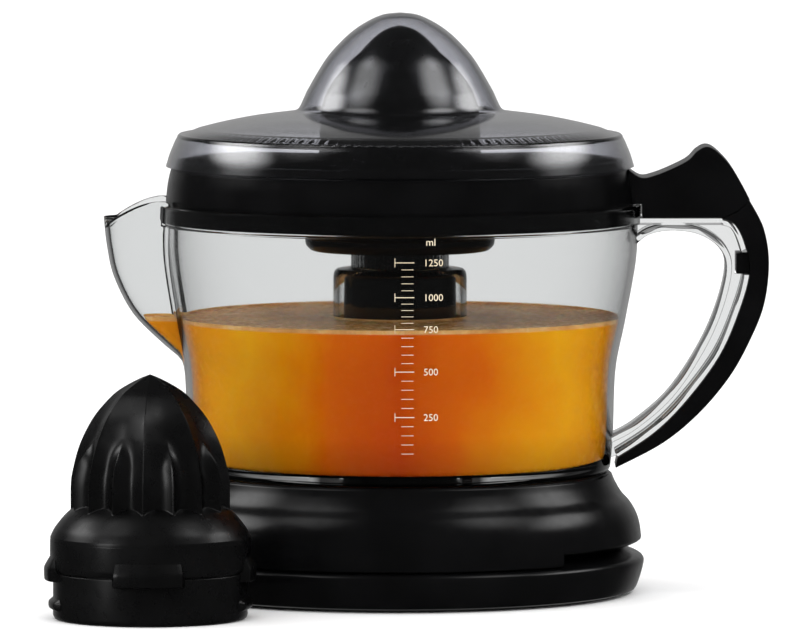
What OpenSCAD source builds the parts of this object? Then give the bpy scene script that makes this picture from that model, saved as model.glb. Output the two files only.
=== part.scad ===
// Citrus press juicer: motor base, clear jug, strainer, lid and two reamers.
// The origin is on the drive axis, on the surface that the juicer stands on.
// +Z is up, the spout points to -X and the handle to +X.

/* [Base] */
// Largest diameter of the foot
foot_d = 184.6; // [184.6:0.2:188]
// Height of the base's top face above the table
base_h = 45.5; // [45.5:0.5:47]
// Wall of the housing and of the bottom cover
base_wall = 2.4; // [2:0.1:2.6]
// Outer diameter of the motor tower
tower_d = 43; // [42:0.5:43]
// Part of the round that the cord groove leaves closed at the front, in degrees
groove_gap = 84; // [60:2:100]

/* [Jug] */
// Height of the jug from its floor to its rim
jug_h = 100.2; // [100:0.1:102]
// Outer diameter of the jug at its floor
jug_d = 159.2; // [158:0.2:160]
// Outer diameter of the rim
rim_d = 182; // [182:0.2:183]
// Wall of the jug
jug_wall = 2.4; // [2:0.1:2.6]
// Outer diameter of the column round the motor tower
column_d = 50.4; // [50:0.2:52]
// Outer diameter of the column's neck
neck_d = 37.2; // [37:0.2:37.6]
// Widest half of the spout at the rim
spout_half_w = 24; // [18:1:26]

/* [Handle] */
// Width of the black cover and of the thumb rest
grip_w = 26; // [24:1:30]
// Width of the flanges of the clear web
flange_w = 20; // [16:1:22]
// Thickness of the clear web
web_t = 3; // [2.5:0.1:4]

/* [Strainer and lid] */
// Height of the strainer's band above the jug's rim
band_h = 14.4; // [14:0.1:15]
// Number of sieve slots
slots = 48; // [24:6:60]
// Width of a sieve slot
slot_w = 1.8; // [1.2:0.1:2]
// Wall of the strainer
strainer_wall = 2.2; // [2:0.1:2.4]
// Height of the lid from its edge to the top of its dome
lid_h = 58; // [58:0.5:60]
// Wall of the lid
lid_wall = 1.8; // [1.4:0.1:2]

/* [Reamers] */
// Height of the small reamer
small_reamer_h = 66.8; // [65:0.1:67]
// Number of wings on the small reamer
wings = 8; // [6:2:12]
// Height of the large reamer
large_reamer_h = 90; // [88:0.5:92]
// Diameter of the large reamer over its ribs
large_reamer_d = 60; // [58:1:62]
// Number of ribs on the large reamer, every second one short
ribs = 16; // [12:2:20]
// Place of the large reamer on the table, to the left of the drive axis
spare_x = -92; // [-120:1:-92]
// Place of the large reamer on the table, in front of the drive axis
spare_y = -106; // [-130:1:-104]

/* [Drive] */
// Tooth size of all gears (module)
gear_m = 1; // [0.9:0.05:1]
// Teeth of the pinion on the rotor
pinion_teeth = 12; // [12:1:13]
// Teeth of the idler's large wheel
idler_teeth = 48; // [46:1:48]
// Teeth of the idler's small wheel
idler_small_teeth = 16; // [16:1:17]
// Teeth of the output gear
output_teeth = 64; // [62:1:64]
// Diameter of the drive spindle
spindle_d = 8; // [7:0.5:8]
// Width of the spindle's hexagon over its corners
hex_d = 10.4; // [10:0.1:10.6]
// Travel of the reamer that closes the switch
press_travel = 3; // [2:0.5:3]
// Bore of the cord gland
gland_bore = 6.4; // [5:0.2:7]

/* [Hidden] */
$fn = 96;
gap = 0.4;        // between pieces that come apart
fit = 0.05;       // radial clearance of a running fit
foot_r = foot_d / 2;
tower_r = tower_d / 2;
jug_r = jug_d / 2;
rim_r = rim_d / 2;
column_r = column_d / 2;
neck_r = neck_d / 2;
spindle_r = spindle_d / 2;

// Heights, from the table up
ring_z = 0.8;                          // underside of the bottom cover
floor_z = ring_z + 2.5;                // top of the bottom cover's floor
skirt_z = 17.2;                        // lowest part of the housing
top_inside = base_h - 2.5;             // underside of the housing's top
jug_z = base_h + 1;
jug_top = jug_z + jug_h;
ledge_z = jug_top - 7.2;               // ledge inside the rim, where the strainer rests
column_top = jug_z + 75.9;
tower_top = column_top - 3.4;
neck_top = jug_top - 5.7;
hub_top = neck_top + 3;                // top of the strainer's hub
band_top = jug_top + band_h;
lid_z = band_top + gap;
reamer_z = hub_top + press_travel;     // skirt of the small reamer
washer_z = hub_top + 11.4;

// Motor and gears
plate_z = 24;
plate_r = 62;
idler_y = gear_m * (output_teeth + idler_small_teeth) / 2;
rotor_angle = 190;                     // from the idler to the rotor
rotor_x = gear_m * (idler_teeth + pinion_teeth) / 2 * cos(rotor_angle);
rotor_y = idler_y + gear_m * (idler_teeth + pinion_teeth) / 2 * sin(rotor_angle);
rotor_r = 10;
core_z = 9;
core_h = 10;
core_half_w = 18;
core_back = 40;                        // from the rotor to the core's far edge
motor_screw_x = 15;
cover_screw_r = 70;                    // radius of the ring of cover screws
cover_screw_angles = [30, 150, 210, 330];
plate_screw_r = 52;
plate_screw_angles = [35, 160, 275];
gland_z = 8.6;

// A smooth curve through the points p, with a number of steps from each to the next
function curve_point(a, b, c, d, t) =
    (2 * b + (c - a) * t + (2 * a - 5 * b + 4 * c - d) * t * t
    + (3 * b - a - 3 * c + d) * t * t * t) / 2;
function smooth(p, steps = 3) = let (last = len(p) - 1)
    [for (i = [0 : last - 1]) for (k = [0 : steps - 1])
        curve_point(p[max(i - 1, 0)], p[i], p[i + 1], p[min(i + 2, last)], k / steps),
     p[last]];
function reversed(p) = [for (i = [len(p) - 1 : -1 : 0]) p[i]];
function raised(p, x, z) = [for (q = p) [q.x + x, q.y + z]];

// The same path moved sideways, to its right for a positive distance
function right_of(p, i) = let (d = p[min(i + 1, len(p) - 1)] - p[max(i - 1, 0)])
    [d.y, -d.x] / norm(d);
function shifted(p, distance) =
    [for (i = [0 : len(p) - 1]) p[i] + distance * right_of(p, i)];

// The inner side of a turned wall, kept off the far side of the axis
function inside(p, wall) = [for (q = shifted(p, -wall)) [max(q.x, 0), q.y]];

// Outline of a gear with slim straight-sided teeth, one of them on the +X axis
function gear_outline(teeth) = let (r = gear_m * teeth / 2, corners = [
        [r - 1.3 * gear_m, -0.32], [r, -0.2], [r + 0.9 * gear_m, -0.09],
        [r + 0.9 * gear_m, 0.09], [r, 0.2], [r - 1.3 * gear_m, 0.32]])
    [for (i = [0 : teeth - 1]) for (c = corners) let (a = 360 / teeth * (i + c[1]))
        c[0] * [cos(a), sin(a)]];

module turned(points) {
    rotate_extrude() polygon(points);
}

module tube(r_out, r_in, z, h) {
    translate([0, 0, z]) difference() {
        cylinder(r = r_out, h = h);
        translate([0, 0, -1]) cylinder(r = r_in, h = h + 2);
    }
}

// An outline in the X-Z plane, as thick as width along Y
module upright(points, width) {
    rotate([90, 0, 0]) linear_extrude(width, center = true) polygon(points);
}

// A strip that follows a path in the X-Z plane
module strip(path, thickness, width) {
    upright(concat(path, reversed(shifted(path, thickness))), width);
}

// A closed skin over loops of points, each loop with the same number of points
module loft(loops) {
    n = len(loops[0]);
    m = len(loops);
    sides = [for (r = [0 : m - 2]) for (i = [0 : n - 1]) let (j = (i + 1) % n)
        each [[r * n + i, r * n + j, (r + 1) * n + j],
              [r * n + i, (r + 1) * n + j, (r + 1) * n + i]]];
    polyhedron([for (l = loops) each l],
        concat(sides, [[for (i = [n - 1 : -1 : 0]) i], [for (i = [0 : n - 1]) (m - 1) * n + i]]));
}

module at_angles(angles, r) {
    for (a = angles) rotate(a) translate([r, 0, 0]) children();
}

module at_rotor() {
    translate([rotor_x, rotor_y, 0]) children();
}

// Base

// Outside of the bell, from its lower edge to its top
bell = smooth([[foot_r - 1, skirt_z + 3.7], [foot_r - 1.7, 25.6], [foot_r - 2.9, 29.8],
    [foot_r - 5.3, base_h - 11.6], [foot_r - 8.5, base_h - 8], [foot_r - 10.9, base_h - 3.9],
    [foot_r - 12.4, base_h - 0.9]]);

module base_housing() {
    lining = inside([for (q = bell) if (q.y < top_inside) q], base_wall);
    shell = concat([[foot_r - 10.7, skirt_z], [foot_r - 8.1, skirt_z],
        [foot_r - 2.1, skirt_z + 2.4], [foot_r - 1.2, skirt_z + 2.9]], bell,
        [[foot_r - 13.3, base_h], [tower_r + 1.5, base_h], [tower_r, base_h + 1.5],
        [tower_r, tower_top - 1], [tower_r - 1, tower_top], [7 + fit, tower_top],
        [7 + fit, tower_top - 3], [tower_r - base_wall, tower_top - 3],
        [tower_r - base_wall, top_inside]],
        [[lining[len(lining) - 1].x, top_inside]], reversed(lining),
        [[foot_r - 4.8, skirt_z + 4], [foot_r - 8.6, skirt_z + 2.6],
        [foot_r - 10.7, skirt_z + 2.6]]);
    color("#141414") difference() {
        union() {
            turned(shell);
            rotate_extrude(angle = groove_gap, start = 270 - groove_gap / 2)
                polygon([[foot_r - 8.1, skirt_z], [foot_r - 2.1, skirt_z - 2.5],
                    [foot_r - 1.3, skirt_z - 1.7], [foot_r - 1, skirt_z + 3.7],
                    [foot_r - 4.3, skirt_z + 2.9]]);
            at_angles(cover_screw_angles, cover_screw_r)
                translate([0, 0, 6]) cylinder(r = 4.2, h = top_inside - 5.5);
            at_angles(plate_screw_angles, plate_screw_r)
                translate([0, 0, plate_z + 2]) cylinder(r = 4, h = top_inside - plate_z - 1.5);
        }
        at_angles(cover_screw_angles, cover_screw_r)
            translate([0, 0, 5]) cylinder(r = 1.5 + fit, h = 13);
        at_angles(plate_screw_angles, plate_screw_r)
            translate([0, 0, plate_z + 1]) cylinder(r = 1.5 + fit, h = 11);
    }
}

module bottom_cover() {
    flank = smooth([[foot_r - 3.4, ring_z + 0.6], [foot_r - 2.5, 3], [foot_r - 1.1, 7],
        [foot_r, 11.6], [foot_r - 0.6, 13.5], [foot_r - 2.3, 14.6]]);
    color("#181818") difference() {
        union() {
            turned(concat([[0, ring_z], [foot_r - 4.9, ring_z]], flank,
                [[foot_r - 8.1, skirt_z - 0.3], [foot_r - 11, skirt_z - 0.3],
                [foot_r - 11, skirt_z + 3.3], [foot_r - 13, skirt_z + 3.3],
                [foot_r - 13, 14.8], [foot_r - 8.5, 14.6], [foot_r - 3.6, 12.2],
                [foot_r - 2.5, 11], [foot_r - 4.2, 5.4], [foot_r - 6.2, floor_z],
                [0, floor_z]]));
            at_angles(cover_screw_angles, cover_screw_r)
                translate([0, 0, ring_z]) cylinder(r = 6, h = 5);
        }
        tube(85, 77, ring_z - 1, 2.2);
        at_angles(cover_screw_angles, cover_screw_r) translate([0, 0, ring_z - 1]) {
            cylinder(r = 3.4, h = 4.2);
            cylinder(r = 1.7, h = 7);
        }
        translate([0, foot_r - 12, gland_z]) rotate([-90, 0, 0]) {
            cylinder(r = 4.8, h = 16);
            cylinder(r = 6.3, h = 8);
        }
    }
}

module rubber_foot() {
    color("#2b2b2b") tube(85, 77, 0, ring_z + 1.2);
}

module cover_screws() {
    color("silver") at_angles(cover_screw_angles, cover_screw_r) {
        translate([0, 0, 4]) cylinder(r = 1.5, h = 12);
        difference() {
            translate([0, 0, 1.6]) cylinder(r = 3, h = 2.4);
            for (a = [0, 90]) rotate(a) translate([-2, -0.4, 1]) cube([4, 0.8, 1.8]);
        }
    }
}

module cord_gland() {
    wall_y = foot_r - 4.1;
    color("#202020") translate([0, 0, gland_z]) rotate([-90, 0, 0]) rotate_extrude()
        polygon([[gland_bore / 2, wall_y - 2.2], [6, wall_y - 2.2], [6, wall_y],
            [4.6, wall_y], [4.6, foot_r + 0.1], [6.5, foot_r + 0.1], [6.5, foot_r + 1.6],
            [5.7, foot_r + 2.5], [gland_bore / 2, foot_r + 2.5]]);
}

// Motor and gearbox

module gearbox_plate() {
    color("lightsteelblue") difference() {
        union() {
            translate([0, 0, plate_z]) cylinder(r = plate_r, h = 2);
            translate([0, idler_y, plate_z + 1]) cylinder(r = 4, h = 2.6);
            at_rotor() translate([0, 0, plate_z - 2]) cylinder(r = 4, h = 4.4);
            at_rotor() for (x = [-motor_screw_x, motor_screw_x])
                translate([x, 0, core_z + core_h]) cylinder(r = 2.6, h = 6);
        }
        translate([0, 0, plate_z - 1]) cylinder(r = 10.5, h = 4);
        translate([0, idler_y, plate_z - 1]) cylinder(r = 2, h = 6);
        at_rotor() translate([0, 0, plate_z - 3]) cylinder(r = 1.5 + fit, h = 7);
        at_rotor() for (x = [-motor_screw_x, motor_screw_x])
            translate([x, 0, core_z]) cylinder(r = 1.5, h = 20);
        at_angles(plate_screw_angles, plate_screw_r)
            translate([0, 0, plate_z - 1]) cylinder(r = 1.6, h = 4);
        for (a = [215, 335]) rotate(a) translate([34, 0, plate_z - 1]) cylinder(r = 12, h = 4);
    }
}

module plate_screws() {
    color("silver") at_angles(plate_screw_angles, plate_screw_r) {
        translate([0, 0, plate_z - 2]) cylinder(r = 3, h = 2);
        translate([0, 0, plate_z]) cylinder(r = 1.5, h = 11);
    }
}

module stator_core() {
    color("#6f7478") at_rotor() translate([0, 0, core_z]) difference() {
        translate([-core_half_w, -core_back, 0])
            cube([2 * core_half_w, core_back + 14, core_h]);
        translate([0, 0, -1]) cylinder(r = rotor_r + 0.8, h = core_h + 2);
        translate([-9.3, -core_back + 10, -1]) cube([18.6, core_back - 15, core_h + 2]);
        translate([-1.2, 5, -1]) cube([2.4, 12, core_h + 2]);
        for (x = [-motor_screw_x, motor_screw_x])
            translate([x, 0, -1]) cylinder(r = 1.5, h = core_h + 2);
    }
}

module stator_coil() {
    color("#a85a22") at_rotor() difference() {
        translate([-9, -core_back - 4.5, core_z - 4.5]) cube([18, 19, core_h + 9]);
        translate([-10, -core_back, core_z]) cube([20, 10, core_h]);
    }
}

module stator_screws() {
    color("silver") at_rotor() for (x = [-motor_screw_x, motor_screw_x])
        translate([x, 0, 0]) {
            translate([0, 0, core_z - 5]) cylinder(r = 2.6, h = 1.5);
            translate([0, 0, core_z - 3.5]) cylinder(r = 1.5, h = core_h + 10.5);
        }
}

module rotor_bracket() {
    color("goldenrod") at_rotor() difference() {
        translate([-core_half_w, -4, core_z - 3.5]) cube([2 * core_half_w, 8, 3.5]);
        translate([-12, -5, core_z - 2]) cube([24, 10, 3]);
        translate([0, 0, core_z - 5]) cylinder(r = 1.5 + fit, h = 6);
        for (x = [-motor_screw_x, motor_screw_x])
            translate([x, 0, core_z - 5]) cylinder(r = 1.5, h = 6);
    }
}

module spindle_bush() {
    color("#c9a24a") turned([[8 + fit, plate_z - 1.5], [10.5, plate_z - 1.5],
        [10.5, plate_z + 2], [13, plate_z + 2], [13, plate_z + 3.6], [10.5, plate_z + 3.6],
        [10.5, plate_z + 8.6], [8 + fit, plate_z + 8.6]]);
}

module tower_bush() {
    color("#c9a24a") turned([[spindle_r + fit, tower_top - 7], [10, tower_top - 7],
        [10, tower_top - 3], [7, tower_top - 3], [7, tower_top - 0.2],
        [spindle_r + fit, tower_top - 0.2]]);
}

module idler_pin() {
    color("silver") translate([0, idler_y, plate_z]) cylinder(r = 2, h = 17.5);
}

module micro_switch() {
    color("#303438") difference() {
        union() {
            translate([-5, -10, floor_z]) cube([10, 20, 7.2]);
            for (y = [-14, 11.5]) translate([-2.5, y, floor_z]) cube([5, 2.5, 3]);
            for (y = [-12, 9]) translate([-1.5, y, floor_z]) cube([3, 3, 1]);
        }
        translate([0, 0, floor_z - 1]) cylinder(r = 2 + fit, h = 10);
    }
}

module switch_plunger() {
    color("#b02a20") translate([0, 0, floor_z + 0.4 + press_travel])
        cylinder(r = 2, h = 7);
}

module rotor_magnet() {
    color("#3b3b40") at_rotor() tube(rotor_r, 1.5, core_z - 1, core_h + 2);
}

module rotor_shaft() {
    color("silver") at_rotor() translate([0, 0, core_z - 4.5])
        cylinder(r = 1.5, h = plate_z + 14 - core_z);
}

module rotor_pinion() {
    color("white") at_rotor() difference() {
        translate([0, 0, plate_z + 3]) rotate(rotor_angle - 180 + 180 / pinion_teeth)
            linear_extrude(6) polygon(gear_outline(pinion_teeth));
        translate([0, 0, plate_z]) cylinder(r = 1.5, h = 12);
    }
}

module idler_gear() {
    color("white") translate([0, idler_y, 0]) difference() {
        union() {
            translate([0, 0, plate_z + 4]) rotate(rotor_angle)
                linear_extrude(4) polygon(gear_outline(idler_teeth));
            translate([0, 0, plate_z + 7.5]) rotate(270 + 180 / idler_small_teeth)
                linear_extrude(8.5) polygon(gear_outline(idler_small_teeth));
        }
        translate([0, 0, plate_z]) cylinder(r = 2 + fit, h = 20);
    }
}

module output_gear() {
    color("ivory") difference() {
        union() {
            translate([0, 0, plate_z + 9]) rotate(90)
                linear_extrude(5) polygon(gear_outline(output_teeth));
            translate([0, 0, plate_z - 2]) cylinder(r = 8, h = top_inside - plate_z + 1.5);
        }
        translate([0, 0, plate_z - 3]) cylinder(d = hex_d + 0.8, h = 30, $fn = 6);
        for (a = [0 : 60 : 300]) rotate(a + 30)
            translate([20, 0, plate_z + 8]) cylinder(r = 6, h = 7);
    }
}

module drive_spindle() {
    hex_z = hub_top + 1;
    color("gainsboro") {
        translate([0, 0, 14]) cylinder(d = hex_d, h = 31, $fn = 6);
        translate([0, 0, 45]) cylinder(r = spindle_r, h = hex_z - 45);
        translate([0, 0, tower_top - 11]) cylinder(r = 6, h = 3.5);
        translate([0, 0, hex_z]) cylinder(d = hex_d, h = 22.7, $fn = 6);
    }
}

module spindle_clip() {
    color("dimgray") difference() {
        tube(7.6, spindle_r, base_h + 13, 1.5);
        translate([0, -2.5, base_h + 12]) cube([10, 5, 4]);
    }
}

module return_spring() {
    turns = 5;
    steps = 12;
    mean_r = 6.4;
    wire_r = 0.6;
    low = top_inside + 0.5 + wire_r;
    high = base_h + 13 - wire_r;
    color("silver") loft([for (k = [0 : turns * steps]) let (
            a = 360 * k / steps,
            z = low + (high - low) * k / (turns * steps))
        [for (b = [0 : 60 : 300]) let (r = mean_r + wire_r * cos(b))
            [r * cos(a), r * sin(a), z + wire_r * sin(b)]]]);
}

// Jug

// Outside of the jug's wall, from the floor to the ledge
jug_side = smooth([[jug_r, jug_z + 1.2], [jug_r + 1, jug_z + 14], [jug_r + 1.9, jug_z + 37.5],
    [jug_r + 5.5, jug_z + 56.1], [jug_r + 9.5, jug_z + 78.5], [jug_r + 10.2, ledge_z - 0.5]]);
jug_lining = inside(jug_side, jug_wall);

// Side view of the handle, measured from the jug's floor
opening_line = raised(smooth([[88, 84.5], [94, 89.1], [103, 90.6], [113, 89], [120.6, 83.6],
    [122.7, 75.5], [119, 60.5], [112, 45.2], [101, 29], [88, 17.6], [79, 12.6]], 4), 0, jug_z);
grip_line = raised(smooth([[82.2, 5], [96, 14.2], [108, 26.2], [120.5, 43.2], [128, 60.5],
    [131.8, 75], [130, 85.6], [126.4, 93], [121.4, 95.1]], 4), 0, jug_z);
back_line = raised(smooth([[81.3, 1], [99.2, 10.5], [112.9, 21.9], [124.3, 35.6],
    [131.9, 49.3], [137.2, 62.9], [139, 78.5], [137, 91.6], [131.8, 101.8]], 4), 0, jug_z);

// Side view of the spout: its front edge upwards, and its upper edge back to the rim
spout_front = smooth([[-78, jug_z + 34], [-81.8, jug_z + 40.6], [-89.3, jug_z + 47],
    [-100.7, jug_z + 58.4], [-107.9, jug_z + 72.1], [-110.6, jug_z + 83.5],
    [-112.2, jug_z + 95], [-112.6, jug_z + 106]]);
spout_top = smooth([[-113.4, jug_top - 8.4], [-107.5, jug_top - 3.1], [-97.7, jug_top + 1.5],
    [-88.5, jug_top + 2.3], [-84, jug_top + 1.2]]);

// The spout's solid, as deep as its wall or as its hollow
module spout_body(wall) {
    back = -66;
    front = shifted(spout_front, wall);
    loops = [for (q = front) let (
            share = (q.y - jug_z - 30) / (jug_h - 30),
            half_w = 7 + (spout_half_w - 7) * pow(share, 0.8) - wall)
        [for (a = [-90 : 15 : 90])
            [back + (q.x - back) * cos(a), half_w * sin(a), q.y]]];
    loft(loops);
}

module jug_web() {
    upright(concat(opening_line, [[79.5, jug_z + 4]], grip_line, [[89, jug_z + 95.1]]), web_t);
    strip(opening_line, -jug_wall, flange_w);
    strip(grip_line, -jug_wall, flange_w);
    upright([[88, jug_z + 92.7], [122, jug_z + 92.7], [121.4, jug_z + 95.1],
        [88, jug_z + 95.1]], flange_w);
}

module jug() {
    floor_top = jug_z + 2.5;
    outer = concat([[0, jug_z], [jug_r - 1.1, jug_z]], jug_side,
        [[rim_r - 0.4, ledge_z], [rim_r, ledge_z + 0.8], [rim_r, jug_top - 0.6],
        [rim_r - 0.6, jug_top], [0, jug_top]]);
    hollow = concat([[column_r + 2, floor_top], [jug_r - jug_wall - 1.6, floor_top]],
        [for (q = jug_lining) if (q.y > floor_top + 1.4) q],
        [[rim_r - 2.4, ledge_z], [rim_r - 2.4, jug_top + 4], [0, jug_top + 4],
        [0, neck_top], [neck_r - 0.6, neck_top], [neck_r, neck_top - 0.6],
        [neck_r, column_top], [column_r - 3, column_top], [column_r - 0.9, column_top - 0.9],
        [column_r, column_top - 3], [column_r, floor_top + 2]]);
    socket = [[0, jug_z - 1], [column_r - 2.2, jug_z - 1], [column_r - 2.2, column_top - 2.2],
        [neck_r - 2.2, column_top - 2.2], [neck_r - 2.2, neck_top - 2],
        [6.3, neck_top - 2], [6.3, neck_top + 1], [0, neck_top + 1]];
    color("lightcyan", 0.35) difference() {
        union() {
            turned(outer);
            intersection() {
                spout_body(0);
                upright(concat([[-60, jug_z + 30]], [[-120, jug_z + 30]], spout_top,
                    [[-60, jug_top + 1]]), 80);
            }
            jug_web();
            tube(jug_r - 1, jug_r - 3.5, jug_z - 0.7, 1);
        }
        turned(hollow);
        turned(socket);
        spout_body(2);
        translate([126.4, -20, jug_z + 73.8]) cube([8, 40, 8.6]);
    }
}

module handle_cover() {
    hollow_back = shifted([for (q = back_line) if (q.y > jug_z + 10 && q.y < jug_z + 84) q], -2.6);
    hollow_grip = [for (q = grip_line) if (q.y > jug_z + 16 && q.y < jug_z + 84) q];
    color("#121212") {
        difference() {
            upright(concat(grip_line, [[127.4, jug_z + 97.8]], reversed(back_line)), grip_w);
            upright(concat(hollow_grip, reversed(hollow_back)), grip_w - 5);
        }
        translate([126.8, -9.5, jug_z + 74.2]) cube([9.4, 19, 7.8]);
    }
}

// Strainer

module strainer() {
    seat = ledge_z + gap;
    well = neck_top - 12;
    band = concat([[rim_r - 2.8, seat], [rim_r - 2.8, jug_top + 0.6]],
        smooth([[rim_r - 2.5, jug_top + 1.2], [rim_r - 3.3, jug_top + 8], [rim_r - 4.6, band_top - 0.6]]),
        [[rim_r - 5.1, band_top], [rim_r - 6.6, band_top], [rim_r - 6.8, band_top + 3],
        [rim_r - 8.6, band_top + 3], [rim_r - 8.6, band_top - 1], [rim_r - 7, band_top - 4],
        [rim_r - 5.2, jug_top + 1.2], [rim_r - 5.2, seat + 5], [rim_r - 7, seat + 2.6]]);
    bowl = [[37, well + 7.9], [34.4, well + 6.4], [33.6, well + 5],
        [33.6, well + strainer_wall + 1], [32.6, well + strainer_wall],
        [neck_r + 2.6, well + strainer_wall], [neck_r + 2.6, hub_top], [12.3, hub_top],
        [12.3, hub_top - 1.8], [neck_r + gap, hub_top - 1.8], [neck_r + gap, well],
        [33.5, well], [35.2, well + 0.7], [35.8, well + 2.4], [35.8, well + 5],
        [38, well + 5.7], [rim_r - 7, seat]];
    arm = raised(concat(
        smooth([[85.9, 13.6], [90.8, 10.5], [95.6, 11.2], [102.2, 13.8], [108.4, 17],
            [111.8, 20.4], [115.3, 22.1], [118.8, 20.8], [124, 15.6], [128.4, 8.6],
            [131.8, 2.1]]),
        [[127.4, -2], [121.4, -4.7], [92, -4.7], [92, 0.5], [85.9, 0.5]]), 0, jug_top);
    color("#131313") difference() {
        union() {
            turned(concat(band, bowl));
            upright(arm, grip_w);
        }
        for (i = [0 : slots - 1]) rotate(360 * i / slots)
            translate([42, -slot_w / 2, well]) cube([20, slot_w, 16]);
    }
}

module guide_collar() {
    color("#8a8d90") turned([[8, neck_top + 0.6], [12, neck_top + 0.6], [12, hub_top + gap],
        [16, hub_top + gap], [16, hub_top + gap + 1.5], [11, hub_top + gap + 1.5],
        [11, hub_top + 8], [8, hub_top + 8]]);
}

module thrust_washer() {
    color("ivory") tube(12, 8, washer_z, 1);
}

// Reamers

// Wings that stand out of a reamer's cone, each as high as its profile
module wings_on(profile, angles, thickness) {
    for (a = angles) rotate(a) rotate([90, 0, 0])
        linear_extrude(thickness, center = true)
            polygon(concat([[0, profile[0].y]], profile));
}

module small_reamer() {
    top = reamer_z + small_reamer_h;
    cone = smooth([[33.4, reamer_z], [33.4, reamer_z + 5], [30.6, reamer_z + 14],
        [29, reamer_z + 26], [27, top - 29.5], [22.6, top - 20.5], [15.4, top - 13.4],
        [10.4, top - 8.6], [6.4, top - 4], [2.6, top - 1.2], [0, top - 0.6]]);
    wing = smooth([[32.4, reamer_z + 10], [32.3, reamer_z + 24], [31.2, top - 30],
        [27.6, top - 22], [21, top - 14.2], [14.8, top - 9], [9.8, top - 4.4],
        [4.6, top - 1], [0, top]]);
    hollow = concat([[0, reamer_z - 1], [31.4, reamer_z - 1]],
        [for (q = inside(cone, 2)) if (q.y > reamer_z && q.y < top - 17) q],
        [[0, top - 17]]);
    color("#101010") {
        difference() {
            union() {
                turned(concat([[0, reamer_z]], cone));
                wings_on(wing, [for (i = [0 : wings - 1]) 360 * (i + 0.5) / wings], 2.4);
            }
            difference() {
                turned(hollow);
                translate([0, 0, washer_z + 1.3]) cylinder(r = 12, h = 60);
            }
            translate([0, 0, hub_top]) cylinder(d = hex_d + 0.8, h = 24.5, $fn = 6);
        }
        difference() {
            translate([0, 0, hub_top + 0.5]) cylinder(r = 8 - fit, h = washer_z + 1.8 - hub_top);
            translate([0, 0, hub_top]) cylinder(d = hex_d + 0.8, h = 24.5, $fn = 6);
        }
    }
}

module large_reamer() {
    r = large_reamer_d / 2;
    h = large_reamer_h;
    ring = [[r + 5.9, 0.6], [r + 5.9, 17], [r + 7, 17.6], [r + 7, 29]];
    cone = smooth([[r + 6.8, 30.2], [r + 4.6, 34.2], [r + 2.4, 37], [r + 0.2, 39.4], [r - 2, 41.2],
        [r - 4.2, 42.6], [r - 4.9, 47], [r - 5.2, 51], [r - 6.1, h - 33.7], [r - 7.8, h - 27.3],
        [r - 10.4, h - 20.9], [r - 13.9, h - 14.5], [r - 18.8, h - 8.6], [r - 25, h - 3.6], [0, h - 1.6]]);
    rib = smooth([[r - 0.3, 39.2], [r - 0.4, 50], [r - 1.5, h - 33.7], [r - 3.3, h - 27.3],
        [r - 6.1, h - 20.9], [r - 10, h - 14.5], [r - 15.6, h - 8.2], [r - 19.7, h - 5],
        [r - 25.8, h - 1.7], [0, h]]);
    short_rib = concat([for (q = rib) if (q.y < h - 22) q], [[0, h - 22]]);
    hollow = concat([[0, -1], [r + 4, -1], [r + 4, 28.6], [r + 3.2, 31], [r + 0.2, 35.6], [r - 4.2, 39.8]],
        [for (q = inside(cone, 1.8)) if (q.y > 44) q]);
    color("#0e0e0e") translate([spare_x, spare_y, 0]) {
        difference() {
            union() {
                turned(concat([[0, 0], [r + 5.3, 0]], ring, cone));
                wings_on(rib, [for (i = [0 : 2 : ribs - 1]) 360 * i / ribs], 2.2);
                wings_on(short_rib, [for (i = [1 : 2 : ribs - 1]) 360 * i / ribs], 1.8);
                for (a = [0, 90, 180, 270]) rotate(a) {
                    rotate_extrude(angle = 44, start = -22)
                        polygon([[r + 4, 14], [r + 9.2, 14.6], [r + 9.4, 19], [r + 6.6, 24], [r + 4, 24]]);
                    rotate_extrude(angle = 50, start = -25)
                        polygon([[r + 4, 2.6], [r + 7.6, 4.4], [r + 7.6, 6.4], [r + 4, 8.6]]);
                }
            }
            turned(hollow);
        }
    }
}

module lid() {
    top = lid_z + lid_h;
    skin = smooth([[rim_r - 2.6, lid_z], [rim_r - 4, lid_z + 4.6], [rim_r - 6, lid_z + 9.4],
        [rim_r - 8, lid_z + 11.6], [rim_r - 14.4, lid_z + 14.1], [rim_r - 23.2, lid_z + 16.3],
        [rim_r - 34.4, lid_z + 18.5], [42, lid_z + 20.4], [38.4, lid_z + 21.6],
        [37, lid_z + 23.6], [35.2, lid_z + 27.7], [30.2, lid_z + 36.9], [23.2, lid_z + 46],
        [15.2, lid_z + 52.8], [7.6, lid_z + 56.7], [0, top]]);
    color("#4a4d50", 0.45) turned(concat(skin, reversed(inside(skin, lid_wall))));
}

base_housing();
bottom_cover();
rubber_foot();
cover_screws();
cord_gland();
gearbox_plate();
plate_screws();
stator_core();
stator_coil();
stator_screws();
rotor_bracket();
spindle_bush();
tower_bush();
idler_pin();
micro_switch();
rotor_magnet();
rotor_shaft();
rotor_pinion();
idler_gear();
output_gear();
drive_spindle();
spindle_clip();
return_spring();
switch_plunger();
jug();
handle_cover();
strainer();
guide_collar();
thrust_washer();
small_reamer();
lid();
large_reamer();
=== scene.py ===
import math

import bmesh
import bpy
from mathutils import Matrix, Vector, noise


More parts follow.
